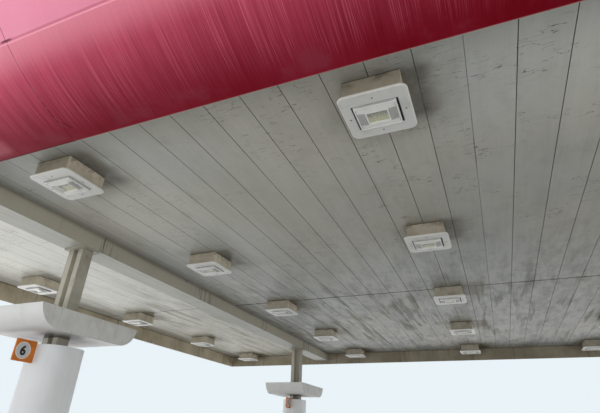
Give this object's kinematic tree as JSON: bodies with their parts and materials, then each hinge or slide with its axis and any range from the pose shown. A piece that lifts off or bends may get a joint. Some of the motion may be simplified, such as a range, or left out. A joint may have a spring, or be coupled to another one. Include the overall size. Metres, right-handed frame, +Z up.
{
  "type": "filling station canopy",
  "caption": "Flat forecourt roof on wide-flange columns, with a pan deck, surface-mounted square lights, a curved red fascia and boat-shaped valances round the columns.",
  "frame": {"origin": "on the floor under the middle of the roof", "axes": "+X to the right along the front edge, +Y from the front edge to the back, +Z up"},
  "size_m": [21.1136, 17.0436, 5.5486],
  "materials": {
    "structural_steel": "weathered grey-beige paint over steel",
    "duct": "pale beige-grey coil paint",
    "deck_pan": "dull grey-white coil paint with stains",
    "beam_wrap": "beige-grey sheet metal, streaked",
    "liner_sheet": "beige-brown sheet with upright dirt streaks",
    "red_sheet": "glossy deep red with fine upright streaks",
    "coping": "deep red coping",
    "galvanised": "dull galvanised plate",
    "housing": "dirty beige-grey enamel",
    "trim": "light grey-white enamel",
    "reflector": "white enamel",
    "lens": "ribbed lens, slightly yellow-green",
    "valance": "pale grey paint with runs of dirt",
    "cover": "pale grey satin paint",
    "flag": "orange flag with a white disc"
  },
  "bodies": {
    "root": {"beam_wrap_left": "beam_wrap", "beam_wrap_right": "beam_wrap", "column_back_left": "structural_steel", "column_back_right": "structural_steel", "column_cover_back_left": "cover", "column_cover_back_right": "cover", "column_cover_front_left": "cover", "column_cover_front_right": "cover", "column_ducts": "duct", "column_front_left": "structural_steel", "column_front_right": "structural_steel", "deck_left": "deck_pan", "deck_middle": "deck_pan", "deck_right": "deck_pan", "fascia_coping": "coping", "fascia_lower_back": "red_sheet", "fascia_lower_front": "red_sheet", "fascia_lower_left": "red_sheet", "fascia_lower_right": "red_sheet", "fascia_ribs_back": "galvanised", "fascia_ribs_front": "galvanised", "fascia_ribs_left": "galvanised", "fascia_ribs_right": "galvanised", "fascia_upper_back": "red_sheet", "fascia_upper_front": "red_sheet", "fascia_upper_left": "red_sheet", "fascia_upper_right": "red_sheet", "lens_frames": "reflector", "lenses": "lens", "light_housings": "housing", "light_trims": "trim", "liner_back": "liner_sheet", "liner_front": "liner_sheet", "liner_left": "liner_sheet", "liner_right": "liner_sheet", "main_beam_left": "structural_steel", "main_beam_right": "structural_steel", "number_flags": "flag", "purlins": "structural_steel", "valance_back_left": "valance", "valance_back_right": "valance", "valance_brackets": "galvanised", "valance_end_plates": "valance", "valance_front_left": "valance", "valance_front_right": "valance"}
  },
  "joints": []
}
